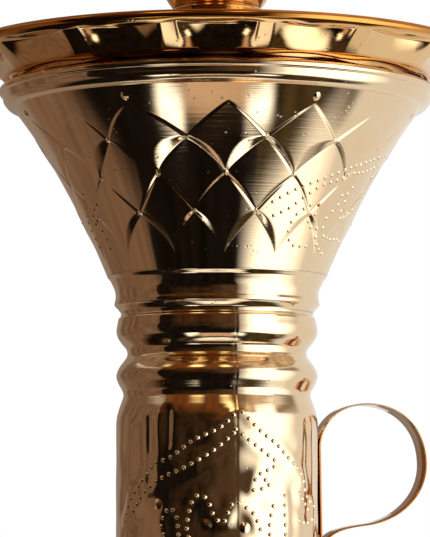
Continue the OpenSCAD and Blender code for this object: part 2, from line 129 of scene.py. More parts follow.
def sheet(path):
    """The closed outline of a sheet whose outer face is the path."""
    inner = beside(path, WALL)
    low, high = path[0, 1], path[-1, 1]
    inner[:, 1] = np.clip(inner[:, 1], min(low, high), max(low, high))
    return np.vstack([path, inner[::-1]])


# ---- Mesh building ----

def place(name, data):
    """An object in the scene with the given mesh, lamp or camera."""
    obj = bpy.data.objects.new(name, data)
    bpy.context.scene.collection.objects.link(obj)
    return obj


def mesh_piece(name, verts, faces, slot, body="pot", node=None, sharp=35, warm=0):
    """A smooth-shaded piece from points in millimetres and quads; edges over sharp degrees stay crisp.

    Warm, one value or one for each point, deepens the metal towards amber."""
    mesh = bpy.data.meshes.new(name)
    faces = np.asarray(faces)
    mesh.vertices.add(len(verts))
    mesh.vertices.foreach_set("co", (np.asarray(verts, float) * MM).astype(np.float32).ravel())
    mesh.loops.add(faces.size)
    mesh.loops.foreach_set("vertex_index", faces.astype(np.int32).ravel())
    mesh.polygons.add(len(faces))
    mesh.polygons.foreach_set("loop_start", (np.arange(len(faces)) * faces.shape[1]).astype(np.int32))
    mesh.polygons.foreach_set("use_smooth", np.ones(len(faces), bool))
    mesh.update(calc_edges=True)
    mesh.validate()
    mesh.set_sharp_from_angle(angle=math.radians(sharp))
    mesh.materials.append(FINISHES[slot])
    shade = np.broadcast_to(np.asarray(warm, np.float32), len(verts))
    mesh.attributes.new("warm", "FLOAT", "POINT").data.foreach_set("value", np.ascontiguousarray(shade))
    obj = place(name, mesh)
    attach(obj, body)
    if node:
        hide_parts(node)


def grid_faces(rows, cols, loop_rows, loop_cols=True):
    """Quads over a grid of points, closed on itself along its rows or columns or both."""
    r = np.arange(rows if loop_rows else rows - 1)[:, None]
    c = np.arange(cols if loop_cols else cols - 1)[None, :]
    r1, c1 = (r + 1) % rows, (c + 1) % cols
    quads = [r * cols + c, r * cols + c1, r1 * cols + c1, r1 * cols + c]
    return np.stack(np.broadcast_arrays(*quads), -1).reshape(-1, 4)


def rings_piece(name, rings, slot, loop_rows=True, **kw):
    """A skin over rings of points, each ring closed on itself."""
    rows, cols = rings.shape[:2]
    mesh_piece(name, rings.reshape(-1, 3), grid_faces(rows, cols, loop_rows), slot, **kw)


def turned(name, outline, slot, steps=ROUND, ripple=None, **kw):
    """A solid of revolution from a closed outline of [radius, height]; ripple is added to each radius."""
    a = np.linspace(0, 2 * math.pi, steps, endpoint=False)
    r = np.repeat(outline[:, :1], steps, 1)
    z = np.repeat(outline[:, 1:], steps, 1)
    if ripple is not None:
        r = r + ripple(np.degrees(a)[None, :], z)
    rings_piece(name, np.stack([r * np.cos(a), r * np.sin(a), z], -1), slot, **kw)


# ---- Materials ----

def node(tree, kind, inputs=(), **props):
    """A shader node; an input given as a socket is linked, any other is set."""
    n = tree.nodes.new(kind)
    for key, value in props.items():
        setattr(n, key, value)
    for key, value in dict(inputs).items():
        if isinstance(value, bpy.types.NodeSocket):
            tree.links.new(value, n.inputs[key])
        else:
            n.inputs[key].default_value = value
    return n


def maths(tree, op, a, b, clamp=False):
    """The sum, difference or product of two values."""
    return node(tree, "ShaderNodeMath", {0: a, 1: b}, operation=op, use_clamp=clamp).outputs[0]


def span(tree, value, lo, hi, out_lo=0.0, out_hi=1.0):
    """value carried from the range lo-hi to the range out_lo-out_hi."""
    return node(tree, "ShaderNodeMapRange", {0: value, 1: lo, 2: hi, 3: out_lo, 4: out_hi}).outputs[0]


def noise(tree, where, scale, stretch=(1, 1, 1), detail=2.0, roughness=0.5):
    """Cloudy noise between 0 and 1, finer by stretch along each axis."""
    m = node(tree, "ShaderNodeMapping", {"Vector": where, "Scale": stretch})
    n = node(tree, "ShaderNodeTexNoise", {"Vector": m.outputs[0], "Scale": scale, "Detail": detail,
                                          "Roughness": roughness})
    return n.outputs[0]


def blank(kind, name):
    """A new material or world and its empty node tree."""
    data = kind.new(name)
    data.use_nodes = True
    data.node_tree.nodes.clear()
    return data, data.node_tree


# The amber that some pieces are deepened towards, and how far each is. On the hem and the lip this amber is
# painted reflection: the orange of gold mirrored in gold in their hollows
AMBER = (0.64, 0.24, 0.025)
AMBER_HANDLE, HEM_PAINTED_REFLECTION, LIP_PAINTED_REFLECTION, AMBER_FOOT, AMBER_BODY = 0.75, 0.9, 0.85, 0.5, 0.55
CLOUD, PATCH, PIT_FIELD = 28, 60, 130  # how fine the changes of colour, of gloss and of pitting are
SPUN_LINES = (12, 12, 1900)  # how fine the spun lines are along x, y and z
PITS_PER_M, PIT_IN, PIT_OUT, PIT_DEEP, PIT_ROUGH = 420.0, 0.10, 0.24, 0.03, 0.2
NOISE_LOW, NOISE_HIGH = 0.3, 0.7  # what noise mostly keeps between


def metal(name, base, deep, rough_lo, rough_hi, lines):
    """Polished sheet metal: fine lines from spinning, small pits, finger-wide changes of colour and gloss."""
    mat, t = blank(bpy.data.materials, name)
    where = node(t, "ShaderNodeTexCoord").outputs["Object"]
    spun = noise(t, where, 1, SPUN_LINES, detail=3, roughness=0.6)
    speck = node(t, "ShaderNodeTexVoronoi", {"Vector": where, "Scale": PITS_PER_M})
    dot = span(t, speck.outputs["Distance"], PIT_IN, PIT_OUT, 1, 0)
    some = span(t, noise(t, where, PIT_FIELD, detail=1), 0.56, 0.66)
    pitted = maths(t, "MULTIPLY", dot, some, clamp=True)
    blend = span(t, noise(t, where, CLOUD, detail=3), NOISE_LOW, NOISE_HIGH)
    colour = node(t, "ShaderNodeMix", {0: blend, 6: (*base, 1), 7: (*deep, 1)}, data_type="RGBA").outputs[2]
    # The warm attribute deepens the colour towards amber; on the hem and the lip that amber is painted
    # reflection of gold in gold
    warm = node(t, "ShaderNodeAttribute", attribute_name="warm").outputs["Fac"]
    colour = node(t, "ShaderNodeMix", {0: warm, 6: colour, 7: (*AMBER, 1)}, data_type="RGBA").outputs[2]
    gloss = span(t, noise(t, where, PATCH, detail=2), NOISE_LOW, NOISE_HIGH, rough_lo, rough_hi)
    rough = maths(t, "ADD", gloss, maths(t, "MULTIPLY", pitted, PIT_ROUGH))
    height = maths(t, "SUBTRACT", maths(t, "MULTIPLY", spun, lines), maths(t, "MULTIPLY", pitted, PIT_DEEP))
    bump = node(t, "ShaderNodeBump", {"Height": height, "Strength": 1.0, "Distance": MM})
    shader = node(t, "ShaderNodeBsdfPrincipled", {"Base Color": colour, "Metallic": 1.0, "Roughness": rough,
                                                  "Normal": bump.outputs[0]})
    out = node(t, "ShaderNodeOutputMaterial")
    t.links.new(shader.outputs[0], out.inputs[0])
    return mat


# For each slot: two colours to blend, the range of roughness, and how deep the spun lines are in millimetres
METALS = {
    "gold_sheet": ((0.88, 0.70, 0.47), (0.84, 0.63, 0.39), 0.06, 0.11, 0.012),
    "gold_trim": ((0.86, 0.60, 0.31), (0.80, 0.50, 0.22), 0.06, 0.12, 0.012),
    "steel_hidden": ((0.56, 0.55, 0.53), (0.50, 0.49, 0.48), 0.25, 0.35, 0.02),
}
FINISHES = {name: metal(name, *look) for name, look in METALS.items()}


# ---- The pot's sheet metal ----

FUNNEL_CURVE = bez([THROAT_R, COLLAR_TOP],
                   [THROAT_R + 0.24 * (MOUTH_R - THROAT_R), COLLAR_TOP + 0.33 * FUNNEL_H],
                   [THROAT_R + 0.48 * (MOUTH_R - THROAT_R), COLLAR_TOP + 0.62 * FUNNEL_H],
                   [MOUTH_R, FUNNEL_TOP], 200)


def funnel_r(z):
    """The plain funnel's radius at a height."""
    return np.interp(z, FUNNEL_CURVE[:, 1], FUNNEL_CURVE[:, 0])


def net_z(i):
    """The height of a row of the net: row 0 is its foot, row NET_ROWS its top."""
    share = np.clip(i / NET_ROWS, 0, 1)
    inside = COLLAR_TOP + NET_LOW + (NET_HIGH - NET_LOW) * share**NET_EASE
    below = COLLAR_TOP + NET_LOW * (1 + i)
    above = COLLAR_TOP + NET_HIGH + (FUNNEL_H - NET_HIGH) * (i - NET_ROWS) / ROWS_ABOVE
    return np.where(i < 0, below, np.where(i > NET_ROWS, above, inside))


def ramp(x, width):
    """Rises from 0 to 1 over the width, and ever more slowly."""
    return 1 - (1 - np.clip(x / width, 0, 1)) ** NET_ROUND


def leaf(roll, along):
    """The roll's width along a crease: widest in the middle, next to nothing at both ends."""
    return np.maximum(roll * 4 * along * (1 - along), NET_CRISP)


def swell(i, j, z):
    """How far each whole diamond stands out: crisp along its upper creases, rolling down to its lower ones.

    The net's creases lie where j + i or j - i is a multiple of 4."""
    a, b = (j + i) / 4, (j - i) / 4
    widest = 2 * (np.floor(a) - np.floor(b))
    whole = (widest > 0) & (widest < NET_ROWS)
    fa, fb = a - np.floor(a), b - np.floor(b)
    rows = (NET_MIDDLE, NET_FOOT, NET_STRAIGHT, NET_ROLL_LEFT, NET_ROLL_RIGHT)
    middle, foot, share, left, right = (np.interp(widest, NET_WIDEST, values) for values in rows)
    face = (ramp(1 - fa, NET_CRISP) * ramp(fb, NET_CRISP)
            * ramp(fa, leaf(left, fb)) * ramp(1 - fb, leaf(right, fa)))
    z_low, z_top = net_z(widest - 2), net_z(widest + 2)
    down = np.clip((z_top - z) / np.maximum(z_top - z_low, 1), 0, 1)
    straight = funnel_r(z_top) * (1 - down) + funnel_r(z_low) * down
    humped = (NET_HEAD * (1 - down) * (1 - 2 * down) + 4 * middle * down * (1 - down)
              + foot * down * (2 * down - 1))
    return np.where(whole, (share * (straight - funnel_r(z)) + humped) * face, 0)


def drift(i, a):
    """How far the net wanders off its even spacing, in degrees, at row i and azimuth a."""
    return np.interp(i, LEAN_ROWS, LEAN) * np.exp(-((a + FRONT - LEAN_AT) / LEAN_W) ** 2)


def funnel_skin(rows, cols, inset):
    """The funnel's face with its net, moved inwards by inset."""
    i = np.linspace(-1, NET_ROWS + ROWS_ABOVE, rows)[:, None]
    j = np.arange(cols)[None, :] * (4 * NET_N / cols)
    z = net_z(i) + 0 * j
    r = funnel_r(z) - inset + swell(i, j, z)
    a = -90 + NET_TURN + 360 * j / (4 * NET_N) + 0 * i
    a = np.radians(a + drift(i, from_back(a)))
    return np.stack([r * np.cos(a), r * np.sin(a), z], -1)


def skin_r(a, z):
    """The pot's outer radius on the tube or the funnel, at an azimuth in degrees and a height."""
    tube = tube_path()
    share = np.clip((z - COLLAR_TOP - NET_LOW) / (NET_HIGH - NET_LOW), 0, 1)
    i = NET_ROWS * share ** (1 / NET_EASE)
    j = (a - drift(i, a) + 90 - NET_TURN) * NET_N / 90
    low = np.interp(z, tube[:, 1], tube[:, 0]) + tube_dents(a, z)
    return np.where(z < TUBE_TOP, low, funnel_r(z) + swell(i, j, z))


def make_funnel():
    """The funnel as one sheet, finer outside than inside."""
    rows, cols = 1 + NET_ROWS + ROWS_ABOVE, 16 * 4 * NET_N
    outer = funnel_skin(16 * rows + 1, cols, 0)
    inner = funnel_skin(4 * rows + 1, cols, FUNNEL_WALL)[::-1]
    rings_piece("funnel", np.concatenate([outer, inner]), "gold_sheet", node="mouth_funnel", sharp=60)


def make_hoop():
    """A rounded shoulder lying on the funnel, a straight band, and the bead rolled over its wire."""
    r, centre, roll, tuck = MOUTH_R + FIT + WALL, BEAD_Z - BEAD_DROP, BEAD_R + BEAD_FULLER, 1.2
    inward = [(4.9, 7.9), (3.2, 7.6), (1.9, 7.0), (1.05, 6.1), (0.4, 5.2), (0.05, 4.4), (0, 3.6)]
    shoulder = through([[r - back, BEAD_Z - down] for back, down in inward], 6)
    bead = arc([r, centre], roll, -80, 180, 40)
    outline = np.vstack([shoulder, bead, [[r - WALL, centre - tuck]], beside(shoulder, WALL)[::-1]])
    turned("hoop", outline, "gold_sheet", steps=384, node="rim_hoop")


def collar_path():
    """The small bead, the straight band and the steep step under the funnel, by height over the tube."""
    foot = [(TUBE_R - 1.7, FIT), (TUBE_R - 1.3, 0.8)]
    out = [(-0.95, 2.2), (-0.08, 3.1), (0, 4.1), (-0.28, 5.4), (-0.42, 7.0), (-0.2, 8.8), (0.4, 10.4),
           (1.15, 12.0), (1.65, 13.0), (2.05, 13.5), (2.75, 14.3)]
    over = foot + [(COLLAR_BEAD_R + more, up) for more, up in out]
    return through([[r, TUBE_TOP + up] for r, up in over] + [[THROAT_R, COLLAR_TOP - FIT]], 8)


def tube_path():
    """The tube with its two beads and grooves, by depth under its own radius and distance below its top."""
    under = [(0, 43.6), (0.25, 41.2), (0.75, 39.2), (1.3, 37.4), (1.72, 36.2), (2.25, 34.7), (2.7, 33.4),
             (GROOVE_LOW, 32.3), (2.6, 31.2), (2.05, 30.1), (1.4, 28.9), (0.72, 27.6), (0.2, 26.2), (0, 24.8),
             (0.3, 23.4), (0.8, 22.2), (1.6, 20.8), (2.8, 19.2), (3.9, 17.7), (GROOVE_DEEP, 16.6),
             (GROOVE_DEEP, 15.4), (3.95, 14.2), (3.0, 13.0), (2.0, 11.8), (1.15, 10.6), (0.5, 9.5),
             (0.1, 8.0), (0, 6.6), (0.4, 4.2), (0.8, 2.2), (1.6, 1.3), (1.8, 0)]
    ring = through([[TUBE_R - depth, TUBE_TOP - down] for depth, down in under], 5)
    plain = np.stack([np.full(60, TUBE_R), np.linspace(BELLY_TOP, ring[0, 1], 60, endpoint=False)], 1)
    return np.vstack([plain, ring])


# Upright dents in the tube: azimuth, half width in degrees, depth, and the heights between which each runs.
# A depth below nought stands out
DENTS = [
    (-160, 3.0, -0.3, 130, 178), (-151, 4.0, 0.42, 138, 178), (-142, 3.4, 0.55, 146, 182),
    (-136, 2.6, -0.25, 150, 180), (-130, 3.2, 0.62, 160, 183), (-119, 3.0, 0.25, 150, 178),
    (-113, 2.6, -0.2, 146, 176), (-98, 3.5, 0.18, 150, 174), (-40, 3.5, 0.35, 120, 180),
    (-33, 2.6, -0.25, 120, 178), (-26, 3.0, 0.3, 120, 176),
]
DENT_FOOT, DENT_HEAD = 10, 5  # over so many millimetres a dent comes in and goes out
# Slow waviness: how far in and out, how many times round, how many radians on for each millimetre up, and
# its start. It lies between two heights, comes in and goes out over WAVY_FADE, and is weaker at the back
WAVES = [(0.09, 9, 0.21, 0), (0.07, 17, -0.33, 1)]
WAVY_LOW, WAVY_HIGH, WAVY_FADE, WAVY_BACK = 95, 180, 10, 0.4
# The seam: its azimuth, the height of its step and the degrees over which that rises and runs out; its groove
SEAM_AT, SEAM_STEP, SEAM_RISE, SEAM_RUN = -90.2, 0.05, 1.2, 14
SEAM_CUT, SEAM_CUT_W = 0.012, 0.45
CHASED_H, CHASED_W = 0.65, 2.8  # how far the sheet is lifted under a line of dots, and its half width


def from_back(a):
    """The azimuth between -270 and 90 degrees, so that it runs on without a break across the pot's front."""
    return (a + 270) % 360 - 270


def chased(a, z):
    """The sheet pushed out softly along the lines of dots."""
    out = 0 * a * z
    for at, up in TUBE_DOTS:
        out = out + np.exp(-((TUBE_R * np.radians(a - at)) ** 2 + (z - up) ** 2) / CHASED_W ** 2)
    return CHASED_H * np.tanh(out)


def tube_dents(a, z):
    """Soft upright dents under the shoulder, slow waviness, and the seam's fine step and shallow groove."""
    a = from_back(a)
    out = 0 * a * z
    for at, width, depth, low, high in DENTS:
        run = np.clip((z - low) / DENT_FOOT, 0, 1) * np.clip((high - z) / DENT_HEAD, 0, 1)
        out = out - depth * np.exp(-((a - at) / width) ** 2) * run
    front = WAVY_BACK + (1 - WAVY_BACK) * np.clip(1.3 * np.cos(np.radians(a + 90)) + 0.2, 0, 1)
    window = np.clip((WAVY_HIGH - z) / WAVY_FADE, 0, 1) * np.clip((z - WAVY_LOW) / WAVY_FADE, 0, 1)
    for tall, count, twist, start in WAVES:
        out = out + tall * np.sin(np.radians(count * a) + twist * z + start) * front * window
    past = a - SEAM_AT
    step = SEAM_STEP * np.clip(past / SEAM_RISE, 0, 1) * np.clip(1 - past / SEAM_RUN, 0, 1)
    return out + step - SEAM_CUT * np.exp(-(past / SEAM_CUT_W) ** 2)


def tube_ripple(a, z):
    """All that is added to the tube's radius: dents, waviness, seam and the lifted lines of dots."""
    return tube_dents(a, z) + chased(from_back(a), z)


def belly_path():
    """The belly's outer face, from inside the foot to inside the tube."""
    end_r = TUBE_R - WALL - FIT
    wide_z = FOOT_H + 0.45 * (BELLY_TOP - FOOT_H)
    low = bez([NECK_R, FOOT_H], [NECK_R + 3, FOOT_H + 6], [BELLY_R, FOOT_H + 14], [BELLY_R, wide_z], 40)
    high = bez([BELLY_R, wide_z], [BELLY_R, wide_z + 21],
               [end_r + 3, BELLY_TOP - 18], [end_r, BELLY_TOP - 1], 40)
    return np.vstack([[[NECK_R, FOOT_H - 6]], low, high[1:], [[end_r, BELLY_TOP + 5]]])


def make_waist():
    """The moulding where the tube meets the belly."""
    inner, edge, out = TUBE_R + FIT, 0.6, 2.6
    top = bez([inner + edge, BELLY_TOP + WAIST_H], [inner + 1, BELLY_TOP + 0.7 * WAIST_H],
              [inner + out, BELLY_TOP + 0.9 * WAIST_H], [inner + out, BELLY_TOP + 0.5 * WAIST_H], 12)
    low = bez([inner + out, BELLY_TOP + 0.45 * WAIST_H], [inner + out, BELLY_TOP + 0.1 * WAIST_H],
              [inner + 1, BELLY_TOP + 0.3 * WAIST_H], [inner + edge, BELLY_TOP], 12)
    outline = np.vstack([[[inner, BELLY_TOP], [inner, BELLY_TOP + WAIST_H]], top, low])[::-1]
    turned("waist_moulding", outline, "gold_trim", node="waist_ring")


def make_foot():
    """The flared foot ring, open underneath."""
    inner, t, sole = NECK_R + FIT, 1.3, 1.2
    flare = bez([inner + t, FOOT_H - 0.5], [inner + t, FOOT_H - 5], [FOOT_R - 1, 5], [FOOT_R, 2.4], 24)
    inside = [p for p in beside(flare, -t)[::-1] if p[1] > sole + 0.1 and p[0] > inner]
    outline = np.vstack([[[FOOT_R, 0], [FOOT_R - FOOT_RIM, 0], [FOOT_R - FOOT_RIM, sole]], inside,
                         [[inner, FOOT_H - 4], [inner, FOOT_H - 0.5]], flare])[::-1]
    turned("foot", outline, "gold_sheet", node="foot_ring")


# ---- Spout ----

SPOUT_Z, SPOUT_TOP, SPOUT_REACH = 58.0, 124.0, 90.0
ROOT_A, ROOT_B, TIP_A, TIP_B, FLANGE_R = 15.0, 12.0, 8.0, 5.5, 20.0
SPOUT_ROWS, SPOUT_COLS = 60, 48
SPOUT_START = 0.1  # the beak is drawn from this share of its run on, still inside the belly


def spout_rings(inset):
    """Oval rings along the spout's curve, turning from upright to lying flat and narrowing to the tip."""
    root = 0.75 * BELLY_R
    run, rise = SPOUT_REACH - root, SPOUT_TOP - SPOUT_Z
    t = np.linspace(SPOUT_START, 1, SPOUT_ROWS)[:, None]
    u = 1 - t
    keys = [(-root, SPOUT_Z), (-BELLY_R - 0.33 * run, SPOUT_Z - 0.03 * rise),
            (0.05 * run - SPOUT_REACH, SPOUT_Z + 0.4 * rise), (-SPOUT_REACH, SPOUT_TOP - 0.03 * rise)]
    x, z = (u**3 * keys[0][k] + 3 * u * u * t * keys[1][k] + 3 * u * t * t * keys[2][k] + t**3 * keys[3][k]
            for k in (0, 1))
    ease = t * (2 - t)
    turn = np.radians(90 - 75 * ease)
    a = ROOT_A + (TIP_A - ROOT_A) * ease - inset
    b = ROOT_B + (TIP_B - ROOT_B) * ease - inset
    phi = np.linspace(0, 2 * math.pi, SPOUT_COLS, endpoint=False)[None, :]
    return np.stack([x + a * np.cos(phi) * np.cos(turn), b * np.sin(phi) + 0 * t,
                     z + a * np.cos(phi) * np.sin(turn)], -1)


def belly_r(z):
    """The belly's radius at a height."""
    path = belly_path()
    return np.interp(z, path[:, 1], path[:, 0])


def make_spout():
    """The beak as one sheet, open at both ends."""
    rings = np.concatenate([spout_rings(0), spout_rings(WALL)[::-1]])
    rings_piece("spout_beak", rings, "gold_sheet", node="spout", sharp=50)


def make_flange():
    """The plate round the spout's root, bent to the belly."""
    phi = np.linspace(0, 2 * math.pi, 96, endpoint=False)
    rows = []
    for share, out in ((0.0, 0.1), (0.0, 0.8), (0.5, 0.9), (0.9, 0.9), (1.0, 0.55), (1.0, 0.1)):
        ya = (ROOT_B - 0.4) * np.sin(phi) * (1 - share) + FLANGE_R * np.sin(phi) * share
        za = (ROOT_A + 0.6) * np.cos(phi) * (1 - share) + FLANGE_R * np.cos(phi) * share
        z = SPOUT_Z + za
        r = belly_r(z) + out
        rows.append(np.stack([-np.sqrt(r**2 - ya**2), ya, z], -1))
    rings_piece("spout_collar", np.array(rows), "gold_trim", node="spout_flange", sharp=50)


# ---- Handle ----

STRIP_W, STRIP_T, LOOP_OUT, LOOP_H = 14.0, 0.6, 44.0, 50.0
LOOP_FOOT = BELLY_TOP + 42.0
LEG_X = TUBE_R + FIT + 0.6 + STRIP_T / 2
LEG_LOW = BELLY_TOP + 1.33 * WAIST_H
RIVET_R, RIVET_STEP = 1.9, 13.0
RIVET_Z = LEG_LOW + 3.2 * RIVET_R
RIVET_DOME, RIVET_STEPS = 1.8, 40
STRIP_EDGE, STRIP_GAP = 0.22, 0.15
AMBER_BELOW, AMBER_OVER = 172, 8  # the handle turns amber under this height, within so many millimetres


def strip_line():
    """The middle of the strip from one end to the other: up the leg, round the loop and down again."""
    x0, x1 = TUBE_R + FIT + STRIP_T / 2, TUBE_R + LOOP_OUT
    crest = np.array([TUBE_R + 0.45 * LOOP_OUT, LOOP_FOOT + LOOP_H])
    side = np.array([x1, LOOP_FOOT + 0.52 * LOOP_H])
    bottom = np.array([TUBE_R + 0.45 * LOOP_OUT, LOOP_FOOT + 0.04 * LOOP_H])
    out_x = LEG_X + STRIP_T + STRIP_GAP
    n = 24
    return np.vstack([
        [[LEG_X, LEG_LOW], [LEG_X, LOOP_FOOT - 3]],
        bez([x0 + 0.1, LOOP_FOOT + 0.64 * LOOP_H], [x0 + 0.1, LOOP_FOOT + 0.84 * LOOP_H],
            crest - [0.26 * LOOP_OUT, 0], crest, n),
        bez(crest, crest + [0.33 * LOOP_OUT, 0], side + [0, 0.29 * LOOP_H], side, n)[1:],
        bez(side, side - [0, 0.24 * LOOP_H], bottom + [0.32 * LOOP_OUT, 0.036 * LOOP_H], bottom, n)[1:],
        bez(bottom, bottom - [0.23 * LOOP_OUT, 0.026 * LOOP_H], [out_x, LOOP_FOOT - 1],
            [out_x, LOOP_FOOT - 10], n)[1:],
        [[out_x, LEG_LOW]]])


def make_handle():
    """The strip as rings round its section, with its long edges rounded over."""
    line = strip_line()
    half, thin, e = STRIP_W / 2, STRIP_T / 2, STRIP_EDGE
    section = [(-half, thin - e), (-half + e, thin), (half - e, thin), (half, thin - e),
               (half, e - thin), (half - e, -thin), (e - half, -thin), (-half, e - thin)]
    sides = [(y, beside(line, d)) for y, d in section]
    rings = np.stack([np.stack([path[:, 0], np.full(len(path), y), path[:, 1]], -1) for y, path in sides], 1)
    warm = AMBER_HANDLE * np.clip((AMBER_BELOW - rings[:, :, 2]) / AMBER_OVER, 0, 1)
    rings_piece("handle_band", rings, "gold_sheet", loop_rows=False, node="handle_strip", sharp=70,
                warm=warm.ravel())


def make_rivets():
    """Two rivets, each with a domed head on the handle and a flat one inside the tube."""
    head = 2 * RIVET_R
    x0 = LEG_X + 1.5 * STRIP_T + STRIP_GAP + FIT
    in_x = math.sqrt((TUBE_R - WALL) ** 2 - head * head) - FIT
    flat = in_x - 1.2
    rise = np.radians(np.arange(0, 90, 6))
    dome = np.stack([head * np.cos(rise), x0 + RIVET_DOME * np.sin(rise)], 1)
    outline = np.vstack([[(0.01, flat), (head, flat), (head, in_x), (RIVET_R, in_x), (RIVET_R, x0)], dome,
                         [(0.01, x0 + RIVET_DOME)]])
    r, x = outline.T[:, :, None]
    a = 2 * math.pi * np.arange(RIVET_STEPS) / RIVET_STEPS
    verts, faces = [], []
    for k in (0, 1):
        z0 = RIVET_Z + k * RIVET_STEP
        faces.append(grid_faces(len(r), RIVET_STEPS, False) + k * r.size * RIVET_STEPS)
        verts.append(np.stack([x + 0 * a, r * np.cos(a), z0 + r * np.sin(a)], -1).reshape(-1, 3))
    mesh_piece("rivets", np.vstack(verts), np.vstack(faces), "gold_trim", node="handle_rivets")


# ---- Lid ----

LIP_NEAR = (LIP_R + FIT) * math.cos(math.radians(45))
BRIM_TOP_R, BRIM_TOP_Z = LID_R - LIP_R - LIP_NEAR, LIP_Z - LIP_NEAR
BRIM_IN = BRIM_LOW_R - 5.1
SEAT_R = BRIM_IN + 0.8
FLANGE_Z = BRIM_TOP_Z - 0.3
FLUTE_COLS = 48 * FLUTE_N
SCOOP_FOOT, SCOOP_POWER = 0.08, 1.2  # a scoop's share of its depth at its foot, and how it deepens above
# The lip's tail: how far it comes down, then for each wave its height, how many go to a scoop, and its start
TAIL, TAIL_WAVES = 1.9, [(0.34, 2, 0.8), (0.18, 3, 0.0)]


def hollow():
    """How deep each column of the fluted wall lies in its scoop: 0 on the ridges, 1 in the middle of a scoop.

    The scoops were hammered by eye, so at the front they are spaced a little wider than even."""
    a = np.linspace(0, 360, FLUTE_COLS, endpoint=False)
    uneven = SCOOP_DRIFT * np.sin(np.radians(a + FRONT)) ** 3
    phase = (a - uneven) * FLUTE_N / 360 % 1
    off = np.minimum(1, np.abs(2 * phase - 1) / SCOOP_SHARE)
    return (1 - off**2)[None, :]


def flute_rings(shares, inset, lift):
    """The fluted wall: almost round at its foot, with hollow scoops above that leave narrow ridges."""
    s = np.array(shares)[:, None]
    a = np.linspace(0, 2 * math.pi, FLUTE_COLS, endpoint=False)[None, :]
    scoop = FLUTE_DEPTH * (SCOOP_FOOT + (1 - SCOOP_FOOT) * s**SCOOP_POWER) * hollow()
    r = BRIM_LOW_R + (FLUTE_TOP_R - BRIM_LOW_R) * s - scoop - inset
    z = BRIM_Z - BRIM_DROP * (1 - s) ** 4 + (FLANGE_Z - BRIM_Z) * s + lift + 0 * a
    return np.stack([r * np.cos(a), r * np.sin(a), z], -1)


def round_rings(path):
    """Round rings at each [radius, height] of the path, with the fluted wall's columns."""
    a = np.linspace(0, 2 * math.pi, FLUTE_COLS, endpoint=False)[None, :]
    r, z = np.array(path)[:, :1], np.array(path)[:, 1:]
    return np.stack([r * np.cos(a), r * np.sin(a), z + 0 * a], -1)


def bent(start, corner, end, steps):
    """Rings of a soft bend from one ring to another, drawn towards the corner ring between them."""
    t = np.linspace(0, 1, steps + 1)[1:, None, None]
    return (1 - t) ** 2 * start + 2 * t * (1 - t) * corner + t**2 * end


def make_brim():
    """Hem, fluted wall and flat flange, as one sheet. A soft bend joins the wall to the flange."""
    hem_r, fold = BRIM_LOW_R - SCOOP_FOOT * FLUTE_DEPTH, BRIM_Z - BRIM_DROP
    hem = round_rings(bez([hem_r - 2.9, BRIM_Z - 0.6], [hem_r - 2.4, BRIM_Z - 1.3 * HEM_H],
                          [hem_r - 0.2, BRIM_Z - 1.5 * HEM_H], [hem_r, fold - 0.2], 12))
    hem[:, :, 2] += (BRIM_Z - hem[:, :, 2]) * 0.4 * hollow()
    wall = flute_rings(np.linspace(0, 0.9, 22), 0, 0)
    corner = flute_rings([1], 0, 0)
    top = round_rings([[BRIM_TOP_R, BRIM_TOP_Z]])
    out = 0.8 * corner + 0.2 * top
    bend = bent(wall[-1:], corner, out, 6)
    floor = round_rings([[BRIM_IN, BRIM_Z], [SEAT_R + 0.3, BRIM_Z]])
    rings = np.concatenate([
        floor, hem, wall, bend, 0.6 * out + 0.4 * top, 0.2 * out + 0.8 * top, top,
        round_rings([[BRIM_TOP_R - WALL, BRIM_TOP_Z + 0.8 * WALL]]),
        flute_rings(np.linspace(1, 0, 7), 1.2 * WALL, 0.8 * WALL), round_rings([[BRIM_IN, BRIM_Z + WALL]])])
    warm = np.zeros(rings.shape[:2])
    shown = len(floor) + len(hem)
    # Painted reflection: the hem, and then the wall's first three rings more and more faintly, are deepened
    # to amber for gold mirrored in gold
    warm[len(floor):shown] = HEM_PAINTED_REFLECTION
    warm[shown:shown + 3] = np.array([0.8, 0.45, 0.15])[:, None]
    rings_piece("lid_fluted_brim", rings, "gold_trim", body="lid", node="lid_brim", sharp=60,
                warm=warm.ravel())


def make_lip():
    """The rolled lip. Its tail comes down under the flange and wanders a little with the scoops."""
    a = np.linspace(0, 2 * math.pi, FLUTE_COLS, endpoint=False)[None, :]
    big = LIP_R + LIP_FULLER
    roll = arc([LID_R - big, LIP_Z + LIP_R - big], big, -38, 200, 40)[:, None, :]
    tail = TAIL + sum(tall * np.cos(count * FLUTE_N * a + start) for tall, count, start in TAIL_WAVES)
    r, z = roll[:, :, 0] + 0 * a, roll[:, :, 1] + 0 * a
    # Inwards and down from the roll's end, as shares of the tail
    tip = [(0.676, -0.737), (0.76, -0.78), (1.1, -0.5)]
    low_r = np.vstack([r[:1] - inward * tail for inward, _ in tip])
    low_z = np.vstack([z[:1] + down * tail for _, down in tip])
    r, z = np.vstack([low_r[::-1], r]), np.vstack([low_z[::-1], z])
    # Painted reflection: the roll is deepened to amber for gold mirrored in gold in its curl; the tail is not
    warm = np.concatenate([np.zeros(len(tip)), np.full(len(roll), LIP_PAINTED_REFLECTION)])
    rings = np.stack([r * np.cos(a), r * np.sin(a), z], -1)
    rings_piece("lid_rolled_lip", rings, "gold_trim", body="lid", node="lid_lip",
                warm=np.repeat(warm, a.size))


def make_crown():
    """The domed top of the lid."""
    low = BRIM_Z + WALL + FIT
    start = BRIM_IN + 0.4
    dome = np.vstack([[[start, low]],
                      bez([start - 0.6, low + 1.2], [0.62 * BRIM_LOW_R, low + 13.25],
                          [0.36 * BRIM_LOW_R, DOME_TOP - 3], [FINIAL_BASE_R + 1, DOME_TOP], 60),
                      [[STUD_R + 2 * FIT, DOME_TOP]]])
    turned("lid_crown", sheet(dome), "gold_trim", body="lid", node="lid_dome")


